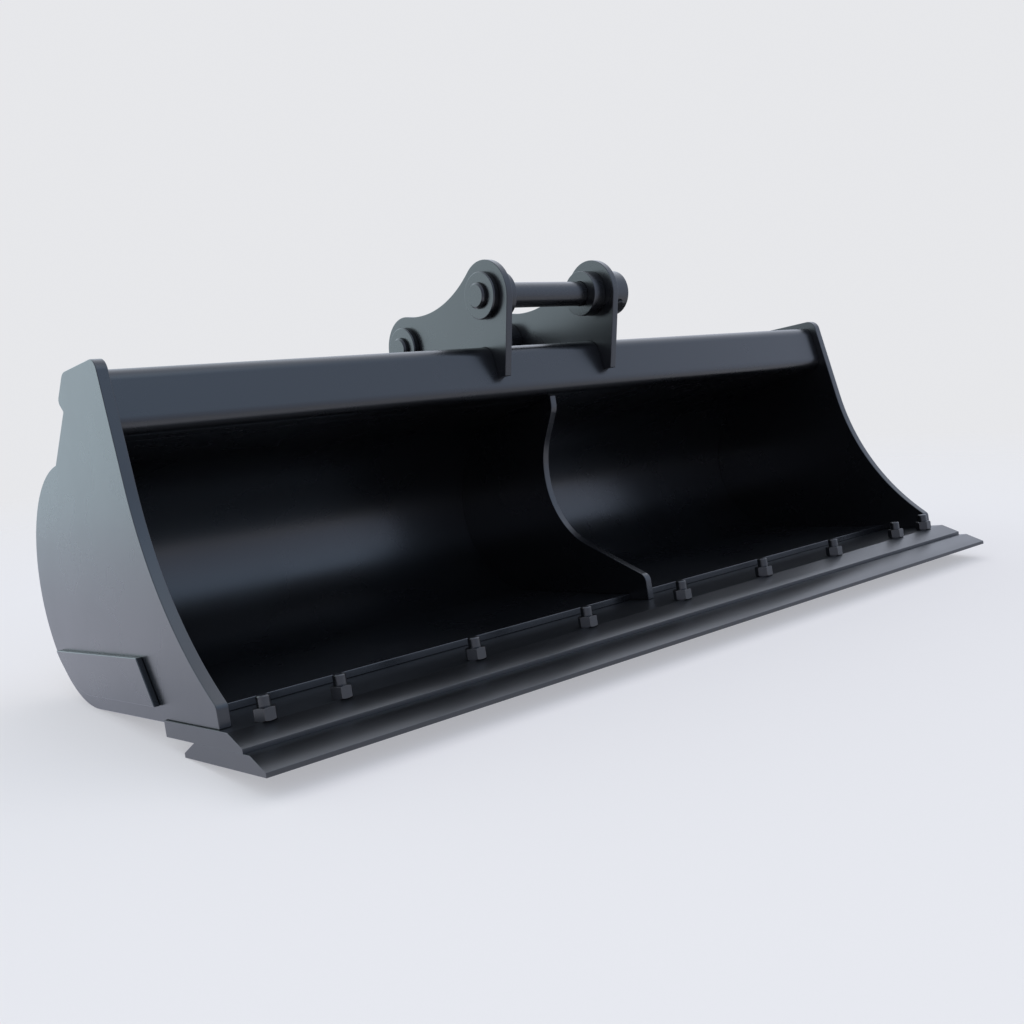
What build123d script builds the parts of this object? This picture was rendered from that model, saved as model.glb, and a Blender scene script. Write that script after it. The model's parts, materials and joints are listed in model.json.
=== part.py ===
from build123d import *
import os
from math import asin, atan2, cos, degrees, hypot, pi, radians, sin, sqrt, tan

os.makedirs("parts", exist_ok=True)

# Grading bucket, in millimetres. X runs along the width, Y backwards from the cutting edge and
# Z upwards. Everything is drawn in the edge frame, in which the bolt-on edge lies flat: Y is 0 at
# its front nose and Z is 0 at its underside. The finished pieces are then tipped back together,
# until the bucket stands on the rear of the bolt-on edge and on its two side plates.

# Overall
width = 1500.0  # bolt-on edge and lip plate, end to end

# Bolt-on edge and lip plate, cut from the same kind of bevelled bar
edge_depth = 200.0
edge_thickness = 20.0
lip_depth = 200.0
lip_thickness = 20.0
lip_setback = 46.0  # lip nose behind the bolt-on edge's nose
bevel_angle = 25.0
nose_height = 5.5

# Plow bolts through both bars
bolt_count = 9
bolt_pitch = 200.0
bolt_end_pitch = 98.0  # the outermost bolts stand nearer to their neighbours
bolt_row = 87.0  # behind the bolt-on edge's nose
bolt_size = 16.0
bolt_hole_gap = 0.75  # radial, round holes
bolt_head_width = 32.0
bolt_head_cone = 8.0
bolt_neck_height = 8.0
neck_gap = 0.4  # each side of the square neck
bolt_stand_out = 13.0  # thread past the nut
nut_flats = 24.0
nut_height = 15.0
nut_corner_angle = 30.0  # slope of the turned corners of nuts and bolt heads
thread_end_share = 12.0  # a thread end is chamfered by its size over this
thread_gap = 0.1  # radial, nut on thread

# Shell, one plate rolled from the floor round the back to under the beam
shell_thickness = 10.0
shell_front = 190.0
shell_radius = 159.0  # outside
shell_centre = (434.0, 208.0)
shell_roof_fall = 9.6  # slope of the upper run, down towards the back

# Side plates
side_thickness = 15.0
side_inset = 3.0  # outer face in from the lip plate's end
side_radius = 166.0
side_centre = (472.0, 202.0)
side_toe = 101.0
toe_fillet = 9.0
lip_gap = 0.5  # side plate's step behind the lip plate
front_arc_radius = 420.0
front_lean = 10.8
front_arc_top = (258.0, 320.0)  # where the curve of the front edge runs into its straight top
side_top = 479.0
head_fillet = 20.0
head_low_fillet = 8.0
head_step = 21.0  # the head stands proud of the sloping rear edge
head_corner = 437.0  # Y of the head's lower rear corner
rear_slope = 45.0
rear_line = 853.0  # Y + Z along the sloping rear edge

# Beam, a bent plate that closes on the shell to a box
beam_thickness = 8.0
beam_front_gap = 13.0  # behind the side plate's front edge
beam_top = 467.0
beam_flange = 45.0  # lower flange, from the front bend's corner to the shell's end
beam_radius = 20.0  # outside of its bends
beam_rear_gap = 12.0  # inside the sloping rear edge

# Divider
divider_thickness = 12.0
divider_toe = 152.0
divider_toe_fillet = 14.0
divider_rise = 24.5
divider_radius = 131.0
divider_centre = (217.0, 251.0)
divider_lean = 30.0  # the upper run leans forwards from the curve
divider_front = 306.0  # upright top part
divider_neck_fillet = 30.0

# Ears and bosses
ear_thickness = 12.0
ear_span = 245.0  # outer face to outer face
ear_radius = 55.0
ear_saddle = 210.0
ear_foot_height = 415.0
ear_foot_front = 273.0
ear_rear_angle = 8.0  # rear edge leans in towards its foot
front_pin_at = (296.0, 545.0)
rear_pin_at = (521.0, 500.5)
boss_radius = 37.0
boss_length = 25.0

# Pins and their locks
pin_diameter = 40.0
pin_gap = 0.08  # radial running clearance in ears and bosses
pin_stand_out = 8.0  # past the head ring
pin_chamfer = 3.0
head_ring_radius = 37.0
head_ring_length = 10.0
end_gap = 0.5  # axial, head ring and collar to the ear
ring_gap = 0.05
ring_chamfer = 1.5
collar_radius = 37.0
collar_length = 44.0
collar_gap = 0.3
lock_bolt_size = 12.0
lock_bolt_gap = 0.5
lock_head_flats = 19.0
lock_head_height = 7.5
lock_nut_height = 10.0
lock_stand_out = 5.0
lock_angle = 225.0
lock_seat = 34.0  # spot faces on the collar, from the pin's axis
lock_seat_radius = 12.0

# Heel plates on the side plates' outer faces
heel_thickness = 8.0
heel_margin = 20.0
heel_top = 114.0
heel_front_top = 291.0
heel_front_bottom = 257.0

# Worked out
lip_bottom = edge_thickness
lip_top = lip_bottom + lip_thickness
side_bottom = side_centre[1] - side_radius
side_outer = width / 2 - side_inset
side_inner = side_outer - side_thickness
ear_outer = ear_span / 2
ear_inner = ear_outer - ear_thickness
bore_radius = pin_diameter / 2 + pin_gap


def along(point, angle, distance):
    """The point that lies the given distance from a point, at an angle up from backwards."""
    turn = radians(angle)
    return (point[0] + distance * cos(turn), point[1] + distance * sin(turn))


def meet(a, a_angle, b, b_angle):
    """Where the line through a crosses the line through b."""
    ua, ub = radians(a_angle), radians(b_angle)
    dy, dz = b[0] - a[0], b[1] - a[1]
    run = (dy * sin(ub) - dz * cos(ub)) / sin(ub - ua)
    return along(a, a_angle, run)


def tangent_angle(point, centre, radius, side):
    """The direction from a point to a circle, grazing it on one side (+1 above, -1 below)."""
    dy, dz = centre[0] - point[0], centre[1] - point[1]
    return degrees(atan2(dz, dy) + side * asin(radius / hypot(dy, dz)))


def polygon(*points):
    return make_face(Polyline(*points, close=True))


def plate(face, x_from, x_to):
    """A flat face, drawn with Y and Z as its two coordinates, made a plate across X."""
    lifted = Plane.YZ.offset(x_from) * face
    return extrude(lifted, x_to - x_from, dir=(1, 0, 0))


def bar_along_x(at, radius, x_from, x_to):
    return Plane.YZ.offset(x_from) * Pos(at[0], at[1], 0) * Cylinder(
        radius, x_to - x_from, align=(Align.CENTER, Align.CENTER, Align.MIN)
    )


def corner_fillet(face, point, radius):
    """Rounds the one corner of a face that lies nearest to a point."""
    corner = min(face.vertices(), key=lambda v: hypot(v.X - point[0], v.Y - point[1]))
    return fillet(corner, radius)


def build_bar(depth, thickness, both_ends):
    """Section of the bevelled bar, nose at Y 0, underside at Z 0."""
    bevel = (thickness - nose_height) / tan(radians(bevel_angle))
    front = [(0, 0), (0, nose_height), (bevel, thickness)]
    rear = [(depth - bevel, thickness), (depth, nose_height), (depth, 0)]
    if not both_ends:
        rear = [(depth, thickness), (depth, 0)]
    return polygon(*front, *rear)


def bolt_places():
    inner = (bolt_count - 3) / 2
    places = [(i - inner) * bolt_pitch for i in range(bolt_count - 2)]
    end = inner * bolt_pitch + bolt_end_pitch
    return [-end, *places, end]


def upright(radius, height, z, x=0.0):
    """A round bar along Z on the bolt row."""
    return Pos(x, bolt_row, z) * Cylinder(
        radius, height, align=(Align.CENTER, Align.CENTER, Align.MIN)
    )


def square_neck(side, z_from, z_to, x=0.0):
    return Pos(x, bolt_row, z_from) * Box(
        side, side, z_to - z_from, align=(Align.CENTER, Align.CENTER, Align.MIN)
    )


def countersink(x=0.0):
    return Pos(x, bolt_row, 0) * Cone(
        bolt_head_width / 2, bolt_size / 2, bolt_head_cone,
        align=(Align.CENTER, Align.CENTER, Align.MIN),
    )


def build_bolt_on_edge():
    bar = plate(build_bar(edge_depth, edge_thickness, True), -width / 2, width / 2)
    hole_side = bolt_size + 2 * neck_gap
    for x in bolt_places():
        bar -= countersink(x)
        bar -= square_neck(hole_side, 0, edge_thickness, x)
    return bar


def build_lip_plate():
    section = Pos(lip_setback, lip_bottom) * build_bar(lip_depth, lip_thickness, False)
    bar = plate(section, -width / 2, width / 2)
    for x in bolt_places():
        bar -= upright(bolt_size / 2 + bolt_hole_gap, lip_thickness, lip_bottom, x)
    return bar


def build_bolt(x):
    neck_top = bolt_head_cone + bolt_neck_height
    top = lip_top + nut_height + bolt_stand_out
    body = countersink(x) + square_neck(bolt_size, bolt_head_cone / 2, neck_top, x)
    shank = upright(bolt_size / 2, top - neck_top, neck_top, x)
    shank = chamfer(shank.edges().group_by(Axis.Z)[-1], bolt_size / thread_end_share)
    return body + shank


def build_hex(flats, height, hole_radius):
    """A hexagon nut or head standing on Z 0, its corners chamfered top and bottom."""
    corner = flats / sqrt(3)
    cut = corner - flats / 2
    body = extrude(RegularPolygon(corner, 6), height)
    turned = Cylinder(corner, height, align=(Align.CENTER, Align.CENTER, Align.MIN))
    turned = chamfer(turned.edges().filter_by(GeomType.CIRCLE), cut * tan(radians(nut_corner_angle)), cut)
    body &= turned
    if hole_radius:
        body -= Cylinder(hole_radius, height, align=(Align.CENTER, Align.CENTER, Align.MIN))
    return body


def build_nut(x):
    return Pos(x, bolt_row, lip_top) * build_hex(nut_flats, nut_height, bolt_size / 2 + thread_gap)


def shell_lines(inset):
    """Points along one face of the shell, from its front to its upper end; inset 0 is outside."""
    radius = shell_radius - inset
    rear_of_lip = lip_setback + lip_depth
    floor_angle = tangent_angle((rear_of_lip, lip_top), shell_centre, shell_radius, -1)
    low = along(shell_centre, floor_angle - 90, radius)
    back = along(shell_centre, 0, radius)
    high = along(shell_centre, 90 - shell_roof_fall, radius)
    knee = meet((0, lip_top + inset), 0, low, floor_angle)
    front = (shell_front, lip_top + inset)
    # the upper end is cut square to the plate, where the beam's flange ends
    flange_end = along(beam_points(0)[0], -shell_roof_fall, beam_flange)
    end = meet(flange_end, 90 - shell_roof_fall, high, -shell_roof_fall)
    return front, knee, low, back, high, end


def shell_run(points):
    front, knee, low, back, high, end = points
    return [
        Polyline(front, knee, low),
        ThreePointArc(low, back, high),
        Line(high, end),
    ]


def build_shell_face():
    outer = shell_lines(0)
    inner = shell_lines(shell_thickness)
    edges = shell_run(outer) + shell_run(inner)
    edges += [Line(outer[0], inner[0]), Line(outer[-1], inner[-1])]
    return make_face(Curve() + edges)


def build_shell_body():
    """What the shell's outside encloses, closed across the mouth: trims what stands on it."""
    outer = shell_lines(0)
    inner_end = shell_lines(shell_thickness)[-1]
    return make_face(Curve() + shell_run(outer) + [Polyline(outer[-1], inner_end, outer[0])])


def build_cavity():
    """The clear section inside the shell and above the lip plate, open at the front."""
    inner = shell_lines(shell_thickness)
    outer_front = (shell_front, lip_top)
    ahead = -width
    beam_low = beam_points(0)[0]
    rest = Polyline(
        inner[-1], beam_low, (ahead, beam_low[1]), (ahead, lip_top), outer_front, inner[0]
    )
    return make_face(Curve() + shell_run(inner) + [rest])


def front_line_at(z, gap=0.0):
    """Y of the side plate's straight front edge at a height, or of a line behind it."""
    return front_arc_top[0] + (z - front_arc_top[1]) * tan(radians(front_lean)) + gap


def build_side_face():
    straight = 90 - front_lean
    centre = along(front_arc_top, straight + 90, front_arc_radius)
    drop = sqrt(front_arc_radius**2 - (side_toe - centre[0]) ** 2)
    toe = (side_toe, centre[1] - drop)
    toe_angle = -degrees(asin(drop / front_arc_radius))
    arc_mid = along(centre, (toe_angle + straight - 90) / 2, front_arc_radius)
    head_front = (front_line_at(side_top), side_top)
    head_line = rear_line + head_step * sqrt(2)
    head_rear = (head_line - side_top, side_top)
    head_low = (head_corner, head_line - head_corner)
    notch = along(head_low, rear_slope - 180, head_step)
    join = rear_join_angle()
    slope_end = along(side_centre, join, side_radius)
    rear = along(side_centre, (join - 90) / 2, side_radius)
    bottom = (side_centre[0], side_bottom)
    behind_lip = lip_setback + lip_depth + lip_gap
    edges = [
        Line((side_toe, lip_top), toe),
        ThreePointArc(toe, arc_mid, front_arc_top),
        Polyline(front_arc_top, head_front, head_rear, head_low, notch, slope_end),
        ThreePointArc(slope_end, rear, bottom),
        Polyline(bottom, (behind_lip, side_bottom), (behind_lip, lip_top), (side_toe, lip_top)),
    ]
    face = make_face(Curve() + edges)
    face = corner_fillet(face, toe, toe_fillet)
    face = corner_fillet(face, head_front, head_fillet)
    face = corner_fillet(face, head_rear, head_fillet)
    return corner_fillet(face, head_low, head_low_fillet)


def rear_join_angle():
    """Angle round the back's centre at which the sloping rear edge meets its circle."""
    reach = (rear_line - side_centre[0] - side_centre[1]) / sqrt(2)
    return rear_slope + degrees(pi / 2 - asin(reach / side_radius))


def roof_point():
    """A point on the inside of the shell's upper run; the run slopes by shell_roof_fall."""
    return along(shell_centre, 90 - shell_roof_fall, shell_radius - shell_thickness)


def beam_points(inset):
    """Corners of the beam's plate, on its outside or a thickness inside."""
    front = (front_line_at(beam_top, beam_front_gap), beam_top)
    shift = along((0, 0), -front_lean, inset)
    front = (front[0] + shift[0], front[1] + shift[1])
    roof = along(roof_point(), 90 - shell_roof_fall, inset)
    low = meet(front, 90 - front_lean, roof, -shell_roof_fall)
    top = meet(front, 90 - front_lean, (0, beam_top - inset), 0)
    rear_sum = rear_line - (beam_rear_gap + inset) * sqrt(2)
    rear = (rear_sum - beam_top + inset, beam_top - inset)
    return low, top, rear


def build_beam_face():
    low, top, rear = beam_points(0)
    in_low, in_top, in_rear = beam_points(beam_thickness)
    flange = along(low, -shell_roof_fall, beam_flange)
    in_flange = along(flange, 90 - shell_roof_fall, beam_thickness)
    reach = side_radius
    leg = along(rear, -rear_slope, reach)
    in_leg = along(in_rear, -rear_slope, reach)
    face = polygon(flange, low, top, rear, leg, in_leg, in_rear, in_top, in_low, in_flange)
    for corner in (low, top, rear):
        face = corner_fillet(face, corner, beam_radius)
    for corner in (in_low, in_top, in_rear):
        face = corner_fillet(face, corner, beam_radius - beam_thickness)
    return face - build_shell_body()


def build_beam_body():
    """What the beam's outside encloses down to the shell."""
    low, top, rear = beam_points(0)
    reach = side_radius
    face = polygon(low, top, rear, along(rear, -rear_slope, reach), shell_centre)
    for corner in (low, top, rear):
        face = corner_fillet(face, corner, beam_radius)
    return face


def build_divider_face():
    rise = along(divider_centre, divider_rise - 90, divider_radius)
    toe_top = meet((divider_toe, 0), 90, rise, divider_rise)
    high = along(divider_centre, divider_lean, divider_radius)
    mid = along(divider_centre, (divider_rise - 90 + divider_lean) / 2, divider_radius)
    neck = meet(high, divider_lean + 90, (divider_front, 0), 90)
    top = side_top
    deep = side_centre[0] + side_radius
    edges = [
        Polyline((divider_toe, lip_top), toe_top, rise),
        ThreePointArc(rise, mid, high),
        Polyline(
            high, neck, (divider_front, top), (deep, top), (deep, lip_top), (divider_toe, lip_top)
        ),
    ]
    face = make_face(Curve() + edges)
    face = corner_fillet(face, toe_top, divider_toe_fillet)
    face = corner_fillet(face, neck, divider_neck_fillet)
    return face & build_cavity()


def build_ear_face():
    span = hypot(rear_pin_at[0] - front_pin_at[0], rear_pin_at[1] - front_pin_at[1])
    line = degrees(atan2(rear_pin_at[1] - front_pin_at[1], rear_pin_at[0] - front_pin_at[0]))
    rise = sqrt((ear_radius + ear_saddle) ** 2 - (span / 2) ** 2)
    middle = along(front_pin_at, line, span / 2)
    saddle_centre = along(middle, line + 90, rise)
    spread = degrees(asin(span / 2 / (ear_radius + ear_saddle)))
    front_join = along(front_pin_at, line + 90 - spread, ear_radius)
    rear_join = along(rear_pin_at, line + 90 + spread, ear_radius)
    saddle_low = along(saddle_centre, line - 90, ear_saddle)
    # the front edge runs from the foot, grazing the round end
    foot = (ear_foot_front, ear_foot_height)
    front_angle = tangent_angle(foot, front_pin_at, ear_radius, 1)
    front_touch = along(front_pin_at, front_angle + 90, ear_radius)
    front_mid = along(front_pin_at, (front_angle + 90 + line + 90 - spread) / 2, ear_radius)
    rear_touch = along(rear_pin_at, -ear_rear_angle, ear_radius)
    rear_mid = along(rear_pin_at, (line + 90 + spread - ear_rear_angle) / 2, ear_radius)
    rear_foot = meet(rear_touch, -90 - ear_rear_angle, shell_centre, 0)
    edges = [
        Line(foot, front_touch),
        ThreePointArc(front_touch, front_mid, front_join),
        ThreePointArc(front_join, saddle_low, rear_join),
        ThreePointArc(rear_join, rear_mid, rear_touch),
        Polyline(rear_touch, rear_foot, (shell_centre[0], shell_centre[1])),
        Polyline(shell_centre, (shell_centre[0], ear_foot_height), foot),
    ]
    face = make_face(Curve() + edges)
    return face - build_beam_body() - build_shell_body()


def build_ear(side):
    blank = plate(build_ear_face(), side * ear_inner, side * ear_outer)
    for pin_at in (front_pin_at, rear_pin_at):
        blank -= bar_along_x(pin_at, bore_radius, -width, width)
    return blank


def build_boss(pin_at, side):
    face = side * ear_inner
    end = side * (ear_inner - boss_length)
    boss = bar_along_x(pin_at, boss_radius, min(face, end), max(face, end))
    return boss - bar_along_x(pin_at, bore_radius, -width, width)


def pin_ends():
    ring_face = -ear_outer - end_gap
    left = ring_face - head_ring_length - pin_stand_out
    right = ear_outer + end_gap + collar_length + pin_stand_out / 2
    return left, right


def lock_bolt_x():
    return ear_outer + end_gap + collar_length / 2


def across(pin_at, shape):
    """Turns a shape drawn along Z to the lock bolt's direction, through the pin's axis."""
    return Pos(lock_bolt_x(), *pin_at) * Rot(lock_angle + 90, 0, 0) * shape


def rod(radius, z_from, z_to):
    return Pos(0, 0, z_from) * Cylinder(
        radius, z_to - z_from, align=(Align.CENTER, Align.CENTER, Align.MIN)
    )


def build_pin(pin_at):
    left, right = pin_ends()
    pin = bar_along_x(pin_at, pin_diameter / 2, left, right)
    pin = chamfer(pin.edges().filter_by(GeomType.CIRCLE), pin_chamfer)
    hole = rod(lock_bolt_size / 2 + lock_bolt_gap, -collar_radius, collar_radius)
    return pin - across(pin_at, hole)


def build_head_ring(pin_at):
    right = -ear_outer - end_gap
    ring = bar_along_x(pin_at, head_ring_radius, right - head_ring_length, right)
    ring = chamfer(ring.faces().sort_by(Axis.X)[0].edges(), ring_chamfer)
    return ring - bar_along_x(pin_at, pin_diameter / 2 + ring_gap, -width, width)


def build_collar(pin_at):
    left = ear_outer + end_gap
    collar = bar_along_x(pin_at, collar_radius, left, left + collar_length)
    collar = chamfer(collar.edges().filter_by(GeomType.CIRCLE), ring_chamfer)
    collar -= bar_along_x(pin_at, pin_diameter / 2 + collar_gap, -width, width)
    collar -= across(pin_at, rod(lock_bolt_size / 2 + lock_bolt_gap, -width, width))
    for start, end in ((lock_seat, width), (-width, -lock_seat)):
        collar -= across(pin_at, rod(lock_seat_radius, start, end))
    return collar


def build_lock_bolt(pin_at):
    tip = lock_seat + lock_nut_height + lock_stand_out
    shank = rod(lock_bolt_size / 2, -lock_seat, tip)
    shank = chamfer(shank.edges().group_by(Axis.Z)[-1], lock_bolt_size / thread_end_share)
    head = Pos(0, 0, -lock_seat - lock_head_height) * build_hex(
        lock_head_flats, lock_head_height, 0
    )
    return across(pin_at, head + shank)


def build_lock_nut(pin_at):
    nut = build_hex(lock_head_flats, lock_nut_height, lock_bolt_size / 2 + thread_gap)
    return across(pin_at, Pos(0, 0, lock_seat) * nut)


def build_heel_face():
    low = side_bottom + heel_margin
    radius = side_radius - heel_margin
    rise = heel_top - side_centre[1]
    rear_top = (side_centre[0] + sqrt(radius**2 - rise**2), heel_top)
    mid = along(side_centre, (degrees(asin(rise / radius)) - 90) / 2, radius)
    corner = (side_centre[0], low)
    edges = [
        Polyline(
            rear_top, (heel_front_top, heel_top), (heel_front_bottom, low), corner
        ),
        ThreePointArc(corner, mid, rear_top),
    ]
    return make_face(Curve() + edges)


def build_all():
    inner = side_inner
    side_face = build_side_face()
    heel_face = build_heel_face()
    nodes = {
        "bolt_on_edge": build_bolt_on_edge(),
        "lip_plate": build_lip_plate(),
        "edge_bolts": [build_bolt(x) for x in bolt_places()],
        "edge_nuts": [build_nut(x) for x in bolt_places()],
        "shell_plate": plate(build_shell_face(), -inner, inner),
        "top_beam": plate(build_beam_face(), -inner, inner),
        "divider_plate": plate(
            build_divider_face(), -divider_thickness / 2, divider_thickness / 2
        ),
        "left_side_plate": plate(side_face, -side_outer, -side_inner),
        "right_side_plate": plate(side_face, side_inner, side_outer),
        "left_heel_plate": plate(heel_face, -side_outer - heel_thickness, -side_outer),
        "right_heel_plate": plate(heel_face, side_outer, side_outer + heel_thickness),
        "left_ear": build_ear(-1),
        "right_ear": build_ear(1),
    }
    for name, pin_at in (("front", front_pin_at), ("rear", rear_pin_at)):
        nodes[name + "_left_boss"] = build_boss(pin_at, -1)
        nodes[name + "_right_boss"] = build_boss(pin_at, 1)
        nodes[name + "_pin"] = build_pin(pin_at)
        nodes[name + "_head_ring"] = build_head_ring(pin_at)
        nodes[name + "_lock_collar"] = build_collar(pin_at)
        nodes[name + "_lock_bolt"] = build_lock_bolt(pin_at)
        nodes[name + "_lock_nut"] = build_lock_nut(pin_at)
    return nodes


def rest_tilt():
    """Slope of the line that grazes the side plates from the bolt-on edge's rear corner."""
    return tangent_angle((edge_depth, 0), side_centre, side_radius, -1)


def main():
    tilt = rest_tilt()
    pivot = Pos(0, -edge_depth, 0)
    stand = Rot(-tilt, 0, 0) * pivot
    tipped = {}
    for name, shape in build_all().items():
        if isinstance(shape, list):
            shape = Compound([solid for piece in shape for solid in piece.solids()])
        tipped[name] = stand * shape
    boxes = [shape.bounding_box() for shape in tipped.values()]
    front = min(box.min.Y for box in boxes)
    back = max(box.max.Y for box in boxes)
    centre = Pos(0, -(front + back) / 2, 0)
    for name, shape in tipped.items():
        export_step(centre * shape, f"parts/{name}.step")
    print("tilt", round(tilt, 3), "from", round(front, 2), "to", round(back, 2))
    for name, at in (("front", front_pin_at), ("rear", rear_pin_at)):
        spot = centre * stand * Pos(0, *at)
        print(name, "pin axis", round(spot.position.Y, 3), round(spot.position.Z, 3))


main()
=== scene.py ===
import json
import math
import bpy
from mathutils import Matrix, Vector


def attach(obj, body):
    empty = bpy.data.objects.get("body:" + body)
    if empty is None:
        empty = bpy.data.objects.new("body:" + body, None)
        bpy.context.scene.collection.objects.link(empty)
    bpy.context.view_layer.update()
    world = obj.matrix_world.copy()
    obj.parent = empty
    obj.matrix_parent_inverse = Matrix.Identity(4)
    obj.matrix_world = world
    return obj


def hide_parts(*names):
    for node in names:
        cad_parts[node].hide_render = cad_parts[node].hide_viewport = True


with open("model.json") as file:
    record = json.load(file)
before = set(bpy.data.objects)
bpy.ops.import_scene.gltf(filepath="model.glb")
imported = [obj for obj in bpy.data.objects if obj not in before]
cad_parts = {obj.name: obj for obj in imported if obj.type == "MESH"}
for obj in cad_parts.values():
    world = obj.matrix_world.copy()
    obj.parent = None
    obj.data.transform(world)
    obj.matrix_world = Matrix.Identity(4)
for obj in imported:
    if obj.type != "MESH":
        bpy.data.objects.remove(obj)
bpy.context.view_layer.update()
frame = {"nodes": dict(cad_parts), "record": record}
nodes = frame["nodes"]
bodies = frame["record"]["behaviour"]["bodies"]
bodyOf = {node: body for body, members in bodies.items() for node in members}

grainSet = {   # noise detail and roughness of the peel and of the patches, and the patches' usual range
    "peelDetail": 2.0,
    "peelRoughness": 0.4,
    "patchDetail": 4.0,
    "patchRoughness": 0.55,
    "patchLow": 0.3,
    "patchHigh": 0.7,
}
rubSet = {   # how square a corner has to be to be rubbed, and how the rub breaks up
    "width": 0.0025,
    "breakup": 60.0,
    "samples": 4,
    "squareFrom": 0.995,
    "squareTo": 0.86,
    "breakDetail": 5.0,
    "breakRoughness": 0.6,
    "breakFrom": 0.35,
    "breakTo": 0.62,
}
dustSet = {   # how far a face has to look up to hold dust, and how the film clouds
    "amount": 0.3,
    "scale": 11.0,
    "facingFrom": 0.35,
    "cloudDetail": 6.0,
    "cloudRoughness": 0.6,
    "cloudFrom": 0.3,
    "cloudTo": 0.75,
    "cloudLeast": 0.3,
}


def newGroup(name, inputs, outputs):
    group = bpy.data.node_groups.new(name, "ShaderNodeTree")
    for label, value in inputs.items():
        kind = "NodeSocketColor" if isinstance(value, tuple) else "NodeSocketFloat"
        socket = group.interface.new_socket(label, in_out="INPUT", socket_type=kind)
        socket.default_value = value
    for label, kind in outputs.items():
        group.interface.new_socket(label, in_out="OUTPUT", socket_type=kind)
    start = group.nodes.new("NodeGroupInput")
    end = group.nodes.new("NodeGroupOutput")
    return group, start.outputs, end.inputs


def addNode(tree, kind, links=None, **settings):
    node = tree.nodes.new(kind)
    for key, value in settings.items():
        setattr(node, key, value)
    for key, value in (links or {}).items():
        if isinstance(value, bpy.types.NodeSocket):
            tree.links.new(value, node.inputs[key])
        else:
            node.inputs[key].default_value = value
    return node


def addNoise(tree, vector, scale, detail, roughness):
    links = {"Vector": vector, "Scale": scale, "Detail": detail, "Roughness": roughness}
    return addNode(tree, "ShaderNodeTexNoise", links).outputs["Fac"]


def addRange(tree, value, low, high, lowOut, highOut):
    links = {"Value": value, "From Min": low, "From Max": high, "To Min": lowOut, "To Max": highOut}
    return addNode(tree, "ShaderNodeMapRange", links).outputs["Result"]


def addMath(tree, operation, first, second):
    return addNode(tree, "ShaderNodeMath", {0: first, 1: second}, operation=operation).outputs[0]


def addMix(tree, factor, first, second):
    mix = addNode(tree, "ShaderNodeMix", {0: factor, 6: first, 7: second}, data_type="RGBA")
    return mix.outputs[2]


def buildSprayGrain():
    # the faint orange peel and patchy gloss of sprayed paint
    inputs = {"Peel Scale": 900.0, "Patch Scale": 7.0}
    outputs = {"Height": "NodeSocketFloat", "Patch": "NodeSocketFloat"}
    group, given, out = newGroup("sprayGrain", inputs, outputs)
    place = addNode(group, "ShaderNodeTexCoord").outputs["Object"]
    peel = addNoise(group, place, given["Peel Scale"], grainSet["peelDetail"], grainSet["peelRoughness"])
    patch = addNoise(group, place, given["Patch Scale"], grainSet["patchDetail"],
                     grainSet["patchRoughness"])
    group.links.new(peel, out["Height"])
    group.links.new(patch, out["Patch"])
    return group


def buildEdgeRub():
    # where the paint is thinned along the corners of a plate
    inputs = {"Width": rubSet["width"], "Breakup": rubSet["breakup"]}
    group, given, out = newGroup("edgeRub", inputs, {"Mask": "NodeSocketFloat"})
    place = addNode(group, "ShaderNodeTexCoord").outputs["Object"]
    flat = addNode(group, "ShaderNodeNewGeometry").outputs["Normal"]
    rounded = addNode(group, "ShaderNodeBevel", {"Radius": given["Width"]}, samples=rubSet["samples"])
    across = addNode(group, "ShaderNodeVectorMath", {0: flat, 1: rounded.outputs["Normal"]},
                     operation="DOT_PRODUCT").outputs["Value"]
    edge = addRange(group, across, rubSet["squareFrom"], rubSet["squareTo"], 0.0, 1.0)
    noise = addNoise(group, place, given["Breakup"], rubSet["breakDetail"], rubSet["breakRoughness"])
    breakup = addRange(group, noise, rubSet["breakFrom"], rubSet["breakTo"], 0.0, 1.0)
    group.links.new(addMath(group, "MULTIPLY", edge, breakup), out["Mask"])
    return group


def buildSettledDust():
    # a thin film that lies on whatever faces up
    inputs = {"Amount": dustSet["amount"], "Scale": dustSet["scale"]}
    group, given, out = newGroup("settledDust", inputs, {"Mask": "NodeSocketFloat"})
    place = addNode(group, "ShaderNodeTexCoord").outputs["Object"]
    normal = addNode(group, "ShaderNodeNewGeometry").outputs["Normal"]
    up = addNode(group, "ShaderNodeSeparateXYZ", {0: normal}).outputs["Z"]
    facing = addRange(group, up, dustSet["facingFrom"], 1.0, 0.0, 1.0)
    noise = addNoise(group, place, given["Scale"], dustSet["cloudDetail"], dustSet["cloudRoughness"])
    cloud = addRange(group, noise, dustSet["cloudFrom"], dustSet["cloudTo"], dustSet["cloudLeast"], 1.0)
    film = addMath(group, "MULTIPLY", facing, cloud)
    group.links.new(addMath(group, "MULTIPLY", film, given["Amount"]), out["Mask"])
    return group


sprayGrain = buildSprayGrain()
edgeRub = buildEdgeRub()
settledDust = buildSettledDust()


def placeGroup(tree, group, values):
    node = tree.nodes.new("ShaderNodeGroup")
    node.node_tree = group
    for label, value in values.items():
        node.inputs[label].default_value = value
    return node.outputs


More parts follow.
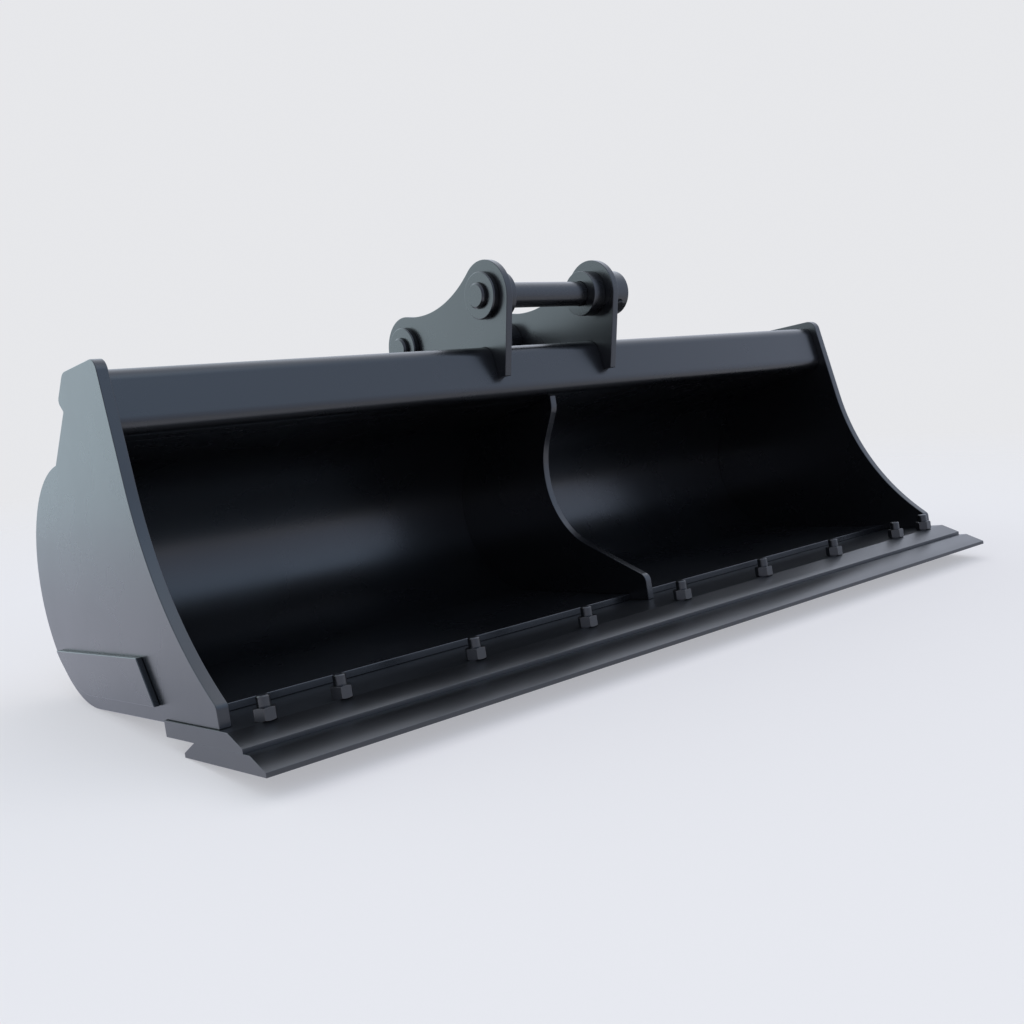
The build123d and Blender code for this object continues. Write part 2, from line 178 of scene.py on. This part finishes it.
def buildPaint(name, look):
    material = bpy.data.materials.new(name)
    material.use_nodes = True
    tree = material.node_tree
    paint = tree.nodes["Principled BSDF"]
    scales = {"Peel Scale": look["peelScale"], "Patch Scale": look["patchScale"]}
    grain = placeGroup(tree, sprayGrain, scales)
    rub = placeGroup(tree, edgeRub, {"Width": look["rubWidth"]})
    dust = placeGroup(tree, settledDust, {"Amount": look["dust"]})
    coat = addMix(tree, grain["Patch"], look["colour"], look["colourVaried"])
    rubbed = addMath(tree, "MULTIPLY", rub["Mask"], look["rubAmount"])
    worn = addMix(tree, rubbed, coat, look["rubColour"])
    dusty = addMix(tree, dust["Mask"], worn, look["dustColour"])
    tree.links.new(dusty, paint.inputs["Base Color"])
    least = look["roughness"] - look["roughnessSpread"]
    most = look["roughness"] + look["roughnessSpread"]
    gloss = addRange(tree, grain["Patch"], grainSet["patchLow"], grainSet["patchHigh"], least, most)
    dulled = addMath(tree, "MULTIPLY", dust["Mask"], look["dustDulls"])
    tree.links.new(addMath(tree, "ADD", gloss, dulled), paint.inputs["Roughness"])
    bump = addNode(tree, "ShaderNodeBump", {"Height": grain["Height"], "Strength": look["peelStrength"],
                                            "Distance": look["peelDepth"]})
    tree.links.new(bump.outputs["Normal"], paint.inputs["Normal"])
    paint.inputs["Specular IOR Level"].default_value = look["specular"]
    return material


paintLook = {
    "colour": (0.0032, 0.0033, 0.0038, 1),
    "colourVaried": (0.0044, 0.0045, 0.0052, 1),
    "roughness": 0.28,
    "roughnessSpread": 0.03,
    "specular": 0.85,
    "peelScale": 700.0,
    "peelStrength": 0.05,
    "peelDepth": 0.0004,
    "patchScale": 6.0,
    "rubWidth": 0.003,
    "rubAmount": 0.25,
    "rubColour": (0.030, 0.033, 0.040, 1),
    "dust": 0.008,
    "dustColour": (0.06, 0.06, 0.065, 1),
    "dustDulls": 0.2,
}
edgeLook = dict(paintLook, roughness=0.33, rubAmount=0.35)
boltLook = dict(paintLook, roughness=0.30, rubWidth=0.0015, rubAmount=0.6,
                rubColour=(0.060, 0.040, 0.027, 1), peelScale=1500.0)
pinLook = dict(paintLook, roughness=0.27, rubWidth=0.0015, rubAmount=0.5,
               rubColour=(0.060, 0.042, 0.030, 1))

finishes = {
    "plate_paint": buildPaint("platePaint", paintLook),
    "edge_paint": buildPaint("edgePaint", edgeLook),
    "bolt_finish": buildPaint("boltFinish", boltLook),
    "pin_paint": buildPaint("pinPaint", pinLook),
}
print("finishes ready:", ", ".join(finishes))


eased = {
    "weldWithin": 0.00002,
    "flatWithin": math.radians(0.4),
    "cornerOver": math.radians(38),
    "smoothUnder": math.radians(32),
    "segments": 3,
}
easedBy = {   # how far each kind of piece is eased at its corners, in metres
    "plate_paint": 0.0012,
    "edge_paint": 0.0012,
    "bolt_finish": 0.0005,
    "pin_paint": 0.0006,
}
slotWords = {   # words in a node's name, and the record's finish that such a piece has
    "edge_bolts": "bolt_finish",
    "edge_nuts": "bolt_finish",
    "bolt_on_edge": "edge_paint",
    "lip_plate": "edge_paint",
    "lock_": "pin_paint",
    "_pin": "pin_paint",
    "head_ring": "pin_paint",
}


def slotFor(node):
    return next((slot for word, slot in slotWords.items() if word in node), "plate_paint")


def deselectAll():
    bpy.ops.object.select_all(action="DESELECT")


def makeActive(piece):
    deselectAll()
    piece.select_set(True)
    bpy.context.view_layer.objects.active = piece


def dressNode(node):
    # the CAD piece with its corners eased, as ground and painted steel has them
    slotName = slotFor(node)
    piece = bpy.data.objects.new(node + "_finished", nodes[node].data.copy())
    bpy.context.scene.collection.objects.link(piece)
    makeActive(piece)
    bpy.ops.mesh.customdata_custom_splitnormals_clear()
    bpy.ops.object.mode_set(mode="EDIT")
    bpy.ops.mesh.select_all(action="SELECT")
    bpy.ops.mesh.remove_doubles(threshold=eased["weldWithin"])
    bpy.ops.mesh.dissolve_limited(angle_limit=eased["flatWithin"])
    bpy.ops.object.mode_set(mode="OBJECT")
    ease = piece.modifiers.new("ease", "BEVEL")
    ease.width = easedBy[slotName]
    ease.segments = eased["segments"]
    ease.limit_method = "ANGLE"
    ease.angle_limit = eased["cornerOver"]
    ease.miter_outer = "MITER_ARC"
    bpy.ops.object.modifier_apply(modifier="ease")
    bpy.ops.object.shade_smooth_by_angle(angle=eased["smoothUnder"])
    level = piece.modifiers.new("level", "WEIGHTED_NORMAL")
    level.keep_sharp = True
    bpy.ops.object.modifier_apply(modifier="level")
    piece.data.materials.clear()
    piece.data.materials.append(finishes[slotName])
    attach(piece, bodyOf[node])
    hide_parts(node)


for node in sorted(nodes):
    dressNode(node)
print("pieces dressed:", len(nodes))


studio = {
    "floorSize": 14.0,
    "floorSides": 96,
    "floorColour": (0.91, 0.81, 0.715, 1),
    "floorGlow": (0.775, 0.785, 0.835, 1),
    "glowAndPaintedReflectionShare": 0.5,   # of the floor that is seen or mirrored, the part that shines by itself; in mirrored rays this glow is a painted reflection
    # the floor as glossy rays see it: a painted reflection, a bluish glow with a painted pool of light
    # that is brighter to one side
    "paintedReflectionColour": (0.82, 0.87, 1.08, 1),
    "paintedPoolSide": (-0.6, 0.8, 0.0),   # towards the side of the floor where the painted pool of light, seen only in the paint's reflections, is brighter
    "paintedPoolReach": 0.8,
    "paintedPoolDim": 0.6,
    "paintedPoolBright": 1.6,
    "backdropColour": (0.797, 0.803, 0.827, 1),
    "fadeFrom": 1.2,
    "fadeTo": 3.4,
    "roomColour": (0.52, 0.57, 0.76, 1),
    "roomStrength": 0.85,
}
walls = {   # soft glows of the room that the paint mirrors: direction, colour, strength, sharpness
    "backLeft": ((-0.5, 0.85, 0.3), (0.78, 0.98, 1.0, 1), 2.05, 4.0),
    "frontHigh": ((0.15, -0.75, 0.85), (0.38, 0.68, 1.0, 1), 0.85, 6.0),
    "right": ((0.9, -0.5, 0.1), (0.72, 0.84, 1.0, 1), 0.55, 6.0),
    "backHigh": ((0.6, 0.45, 0.7), (0.90, 0.95, 1.0, 1), 1.4, 5.0),
}


def buildFloorPaint():
    material = bpy.data.materials.new("studioFloor")
    material.use_nodes = True
    tree = material.node_tree
    tree.nodes.clear()
    place = addNode(tree, "ShaderNodeTexCoord").outputs["Object"]
    away = addNode(tree, "ShaderNodeVectorMath", {0: place}, operation="LENGTH").outputs["Value"]
    fade = addRange(tree, away, studio["fadeFrom"], studio["fadeTo"], 0.0, 1.0)
    matt = addNode(tree, "ShaderNodeBsdfDiffuse", {"Color": studio["floorColour"]}).outputs[0]
    path = addNode(tree, "ShaderNodeLightPath").outputs
    # for glossy rays the floor glows bluish and brighter towards one side: a painted reflection and
    # painted pool of light on the paint
    side = addNode(tree, "ShaderNodeVectorMath", {0: place, 1: studio["paintedPoolSide"]},
                   operation="DOT_PRODUCT").outputs["Value"]
    paintedReflectionPool = addRange(tree, side, -studio["paintedPoolReach"], studio["paintedPoolReach"],
                    studio["paintedPoolDim"], studio["paintedPoolBright"])
    # shine, strength and glow: the even glow that the camera sees, and the painted reflection that
    # glossy rays see
    shine = addMix(tree, path["Is Glossy Ray"], studio["floorGlow"], studio["paintedReflectionColour"])
    strength = addNode(tree, "ShaderNodeMix", {0: path["Is Glossy Ray"], 2: 1.0, 3: paintedReflectionPool}).outputs[0]
    glow = addNode(tree, "ShaderNodeEmission", {"Color": shine, "Strength": strength}).outputs[0]
    seen = addMath(tree, "MAXIMUM", path["Is Camera Ray"],
                   addMath(tree, "MAXIMUM", path["Is Glossy Ray"], path["Is Transmission Ray"]))
    share = addMath(tree, "MULTIPLY", seen, studio["glowAndPaintedReflectionShare"])
    matt = addNode(tree, "ShaderNodeMixShader", {0: share, 1: matt, 2: glow}).outputs[0]
    clear = addNode(tree, "ShaderNodeBsdfTransparent").outputs[0]
    mixed = addNode(tree, "ShaderNodeMixShader", {0: fade, 1: matt, 2: clear}).outputs[0]
    addNode(tree, "ShaderNodeOutputMaterial", {"Surface": mixed})
    return material


def buildFloor():
    deselectAll()
    bpy.ops.mesh.primitive_circle_add(vertices=studio["floorSides"], radius=studio["floorSize"],
                                      fill_type="NGON", location=(0, 0, 0))
    floor = bpy.context.object
    floor.name = "floor"
    floor.data.materials.append(buildFloorPaint())


def buildWorld():
    world = bpy.data.worlds.new("studioWorld")
    bpy.context.scene.world = world
    world.use_nodes = True
    tree = world.node_tree
    tree.nodes.clear()
    direction = addNode(tree, "ShaderNodeTexCoord").outputs["Generated"]
    colour = studio["roomColour"]
    for place, glow, strength, sharpness in walls.values():
        towards = Vector(place).normalized()
        facing = addNode(tree, "ShaderNodeVectorMath", {0: direction, 1: towards},
                         operation="DOT_PRODUCT").outputs["Value"]
        spread = addMath(tree, "POWER", addMath(tree, "MAXIMUM", facing, 0.0), sharpness)
        shine = tuple(part * strength for part in glow[:3]) + (1,)
        layer = addMix(tree, spread, (0, 0, 0, 1), shine)
        colour = addNode(tree, "ShaderNodeMix", {0: 1.0, 6: colour, 7: layer}, data_type="RGBA",
                         blend_type="ADD").outputs[2]
    seen = addNode(tree, "ShaderNodeLightPath").outputs["Is Camera Ray"]
    room = {"Color": colour, "Strength": studio["roomStrength"]}
    light = addNode(tree, "ShaderNodeBackground", room).outputs[0]
    backdrop = {"Color": studio["backdropColour"], "Strength": 1.0}
    shown = addNode(tree, "ShaderNodeBackground", backdrop).outputs[0]
    mixed = addNode(tree, "ShaderNodeMixShader", {0: seen, 1: light, 2: shown}).outputs[0]
    addNode(tree, "ShaderNodeOutputWorld", {"Surface": mixed})


lamps = {   # place, aim, width, height, watts, colour
    "topSoftbox": ((-0.4, -0.9, 2.6), (0, 0, 0.2), 2.4, 1.4, 4.5, (0.85, 0.94, 1.0)),
}


def addLamp(name, place, aim, width, height, watts, colour):
    light = bpy.data.lights.new(name, "AREA")
    light.shape = "RECTANGLE"
    light.size = width
    light.size_y = height
    light.energy = watts
    light.color = colour
    lamp = bpy.data.objects.new(name, light)
    bpy.context.scene.collection.objects.link(lamp)
    lamp.location = place
    lamp.rotation_euler = (Vector(aim) - Vector(place)).to_track_quat("-Z", "Y").to_euler()


buildFloor()
buildWorld()
for name, settings in lamps.items():
    addLamp(name, *settings)
bpy.context.scene.view_settings.view_transform = "Standard"


cameraSet = {
    "place": (-1.2399, -1.32166, 0.42747),
    "right": (0.75597, -0.6511, -0.06773),
    "up": (0.14012, 0.05988, 0.98832),
    "forward": (0.63944, 0.75663, -0.1365),
    "lens": 38.89,
    "sensor": 36.0,
}


def addCamera():
    data = bpy.data.cameras.new("camera")
    data.lens = cameraSet["lens"]
    data.sensor_width = cameraSet["sensor"]
    camera = bpy.data.objects.new("camera", data)
    bpy.context.scene.collection.objects.link(camera)
    back = -Vector(cameraSet["forward"])
    axes = Matrix((cameraSet["right"], cameraSet["up"], back)).transposed()
    camera.matrix_world = Matrix.Translation(cameraSet["place"]) @ axes.to_4x4()
    bpy.context.scene.camera = camera


addCamera()
print("studio ready")
